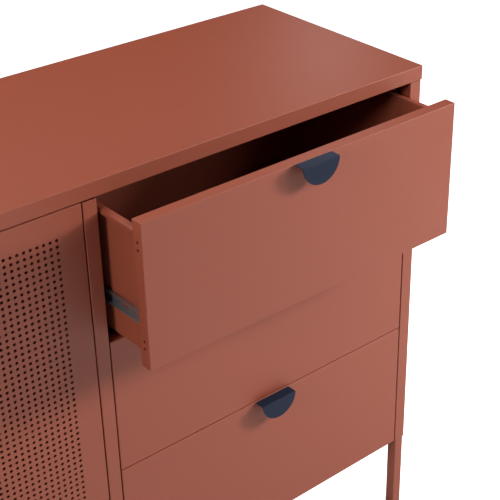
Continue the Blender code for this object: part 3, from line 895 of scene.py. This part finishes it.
def buildChannel(name, low, high, openWay, look, race=None):
    made = addBox(name, low, high)
    dropFaces(made, lambda centre, normal: abs(normal.y) > facing or normal.x * openWay > facing)
    if race:  # pressed along both lips
        web, free = alongX(low, high, openWay)
        centreZ = (low.z + high.z) / 2
        for share, inward in ((race["start"], 0.0), (race["deepest"], race["depth"])):
            cut = web + (free - web) * share
            alone(made)
            bpy.ops.object.mode_set(mode="EDIT")
            bpy.ops.mesh.select_all(action="SELECT")
            bpy.ops.mesh.bisect(plane_co=(cut, 0, 0), plane_no=(1, 0, 0))
            for way in (1, -1):
                pickPoints(made, lambda p: abs(p.x - cut) < closeBy and (p.z - centreZ) * way > 0)
                bpy.ops.transform.translate(value=(0, 0, -way * inward))
        bpy.ops.object.mode_set(mode="OBJECT")
    foldSheet(made, look)
    return made


def cutSlideHoles(made, low, high, webX):
    look = slideHoles
    holes = []
    for index, y in enumerate(look["fromFront"]):
        place = Vector((webX, low.y + y, (low.z + high.z) / 2))
        hole = addCylinder("hole", place, look["radius"], look["depth"], turnToSide, look["sides"])
        if index % 2:  # every other hole is a slot along the rail
            for way in (-1, 1):
                pickPoints(hole, lambda p: (p.y - place.y) * way > closeBy)
                bpy.ops.transform.translate(value=(0, way * look["slot"] / 2, 0))
                bpy.ops.object.mode_set(mode="OBJECT")
        holes.append(hole)
    cutAway(made, holes)


def buildScrews(name, webX, openWay, frontY, z):
    look = screwHead
    made = []
    tip = webX + openWay * look["height"]
    for y in look["fromFront"]:
        place = Vector((webX + openWay * look["height"] / 2, frontY + y, z))
        head = addCylinder("screw", place, look["radius"], look["height"], turnToSide, look["sides"])
        roundEdges(head, look["edge"], look["edgeSteps"])
        bars = ((look["cross"], look["crossWidth"]), (look["crossWidth"], look["cross"]))
        for tall, wide in bars:  # cross recess
            reach = Vector((look["height"] / 2, wide / 2, tall / 2))
            centre = Vector((tip, place.y, z))
            cutAway(head, [addBox("cross", centre - reach, centre + reach)])
        made.append(head)
    screws = joinAll(name, made)
    smooth(screws)
    return screws


deselect()
bpy.ops.mesh.primitive_ico_sphere_add(subdivisions=ballRow["subdivisions"], radius=ballRow["radius"])
masterBall = bpy.context.object
bpy.ops.object.shade_smooth()
for name in drawerNames:
    for side, toDrawer in sideWays:
        label = capital(name, side)
        node = f"slide_outer_{name}_{side}"
        low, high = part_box(node)
        raceHigh = high.z - slideSteel["thickness"]
        centreZ = (low.z + high.z) / 2
        wall = alongX(low, high, toDrawer)[0]
        outerSlide = buildChannel("slideOuter" + label, low, high, toDrawer, slideSteel)
        cutSlideHoles(outerSlide, low, high, wall)
        standFor(outerSlide, node)
        web = wall + toDrawer * slideSteel["thickness"]
        screws = buildScrews("slideScrewsOuter" + label, web, toDrawer, low.y, centreZ)
        addDetail(screws, "cabinet", "zinc_steel")

        node = f"slide_inner_{name}_{side}"
        low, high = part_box(node)
        gapMiddle = (raceHigh + high.z) / 2 - centreZ
        innerLip, face = alongX(low, high, toDrawer)
        innerSlide = buildChannel("slideInner" + label, low, high, -toDrawer, slideSteel, ballRace)
        cutSlideHoles(innerSlide, low, high, face)
        standFor(innerSlide, node)
        web = face - toDrawer * slideSteel["thickness"]
        screws = buildScrews("slideScrewsInner" + label, web, -toDrawer, low.y, centreZ)
        addDetail(screws, bodyOf[node], "zinc_steel")

        # cage: a thin channel whose lips hold the balls between the two members
        node = f"slide_cage_{name}_{side}"
        low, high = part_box(node)
        lipHalf = gapMiddle + ballCage["thickness"] / 2
        cageLow = Vector((low.x, low.y, centreZ - lipHalf))
        cageHigh = Vector((high.x, high.y, centreZ + lipHalf))
        cage = buildChannel("slideCage" + label, cageLow, cageHigh, toDrawer, ballCage)
        # the row runs where the lips of cage and drawer member lie over each other
        cageLip = alongX(low, high, toDrawer)[1]
        rowX = (innerLip + cageLip) / 2 - toDrawer * ballRow["fromLipEdge"]
        windowSize = (ballRow["window"], ballRow["windowDepth"])
        balls = []
        windows = []
        for step in range(ballRow["balls"]):
            y = low.y + (step + 0.5) * (high.y - low.y) / ballRow["balls"]
            for way in (1, -1):
                place = (rowX, y, centreZ + way * gapMiddle)
                balls.append(copyTo(masterBall, place))
                windows.append(addCylinder("window", place, *windowSize, sides=ballRow["windowSides"]))
        cutAway(cage, windows)
        standFor(cage, node)
        row = joinAll("slideBalls" + label, balls)
        addDetail(row, bodyOf[node], "zinc_steel")
bpy.data.objects.remove(masterBall, do_unlink=True)
print("slides made")

# floor, light and camera


def glowForCamera(tree, strength, lit, seen):
    # what the camera sees reads white, while the cabinet is lit by the lesser value
    path = addNode(tree, "ShaderNodeLightPath", -700, -300)
    glow = addNode(tree, "ShaderNodeMapRange", -400, -300)
    glow.inputs["To Min"].default_value = lit
    glow.inputs["To Max"].default_value = seen
    tree.links.new(path.outputs["Is Camera Ray"], glow.inputs["Value"])
    tree.links.new(glow.outputs["Result"], strength)


studioFloor = {
    "size": 16.0,
    "colour": (0.90, 0.90, 0.90),
    "roughness": 0.9,
    "specular": 0.1,
    "glow": 0.0,
    "seenGlow": 1.0,
}
deselect()
bpy.ops.mesh.primitive_plane_add(size=studioFloor["size"], location=(0, 0, 0))
floor = bpy.context.object
floor.name = "studioFloor"
floorPaint = bpy.data.materials.new("palePaint")
floorPaint.use_nodes = True
floorShader = floorPaint.node_tree.nodes["Principled BSDF"]
floorShader.inputs["Base Color"].default_value = (*studioFloor["colour"], 1)
floorShader.inputs["Roughness"].default_value = studioFloor["roughness"]
floorShader.inputs["Specular IOR Level"].default_value = studioFloor["specular"]
floorShader.inputs["Emission Color"].default_value = (1, 1, 1, 1)
floorStrength = floorShader.inputs["Emission Strength"]
glowForCamera(floorPaint.node_tree, floorStrength, studioFloor["glow"], studioFloor["seenGlow"])
floor.data.materials.append(floorPaint)

studioLights = {
    "keyLight": {"place": (2.15, -1.28, 1.44), "target": (0.25, -0.15, 0.55), "size": 0.5, "power": 56.0},
    "fillLight": {"place": (1.5, -1.9, 1.82), "target": (0.25, -0.15, 0.70), "size": 0.95, "power": 19.0},
    "sideLight": {"place": (-2.3, -0.75, 1.8), "target": (0.0, -0.1, 0.6), "size": 0.6, "power": 29.5},
    "topLight": {"place": (-0.3, 0.35, 2.4), "target": (0.0, 0.1, 0.9), "size": 1.6, "power": 23.5},
    "backLight": {"place": (-1.2, 1.6, 2.2), "target": (0.0, 0.0, 0.9), "size": 1.6, "power": 11.0},
    "rimLight": {"place": (0.99, 0.50, 1.29), "target": (0.45, 0.05, 0.9), "size": 0.15, "power": 0.6},
}
for name, look in studioLights.items():
    deselect()
    bpy.ops.object.light_add(type="AREA", location=look["place"])
    light = bpy.context.object
    light.name = name
    light.data.shape = "DISK"
    light.data.size = look["size"]
    light.data.energy = look["power"]
    aim = Vector(look["target"]) - Vector(look["place"])
    light.rotation_euler = aim.to_track_quat("-Z", "Y").to_euler()
    light.visible_camera = False

studioBackdrop = {"light": 0.015, "seen": 1.0}
studioAir = bpy.data.worlds.new("studioAir")
studioAir.use_nodes = True
air = studioAir.node_tree.nodes["Background"]
air.inputs["Color"].default_value = (1, 1, 1, 1)
glowForCamera(studioAir.node_tree, air.inputs["Strength"], studioBackdrop["light"], studioBackdrop["seen"])
bpy.context.scene.world = studioAir
bpy.context.scene.view_settings.view_transform = "Standard"

photoCamera = {
    "place": (-0.80772, -1.44283, 1.64884),
    "turn": (60.758, 0.0, -41.484),
    "sensor": 36.0,
    "lens": 91.3175,
    "shift": (-0.10527, -0.02195),
}
deselect()
cameraTurn = [math.radians(angle) for angle in photoCamera["turn"]]
bpy.ops.object.camera_add(location=photoCamera["place"], rotation=cameraTurn)
camera = bpy.context.object
camera.name = "photoCamera"
camera.data.sensor_width = photoCamera["sensor"]
camera.data.lens = photoCamera["lens"]
camera.data.shift_x, camera.data.shift_y = photoCamera["shift"]
bpy.context.scene.camera = camera
print("floor, light and camera set")
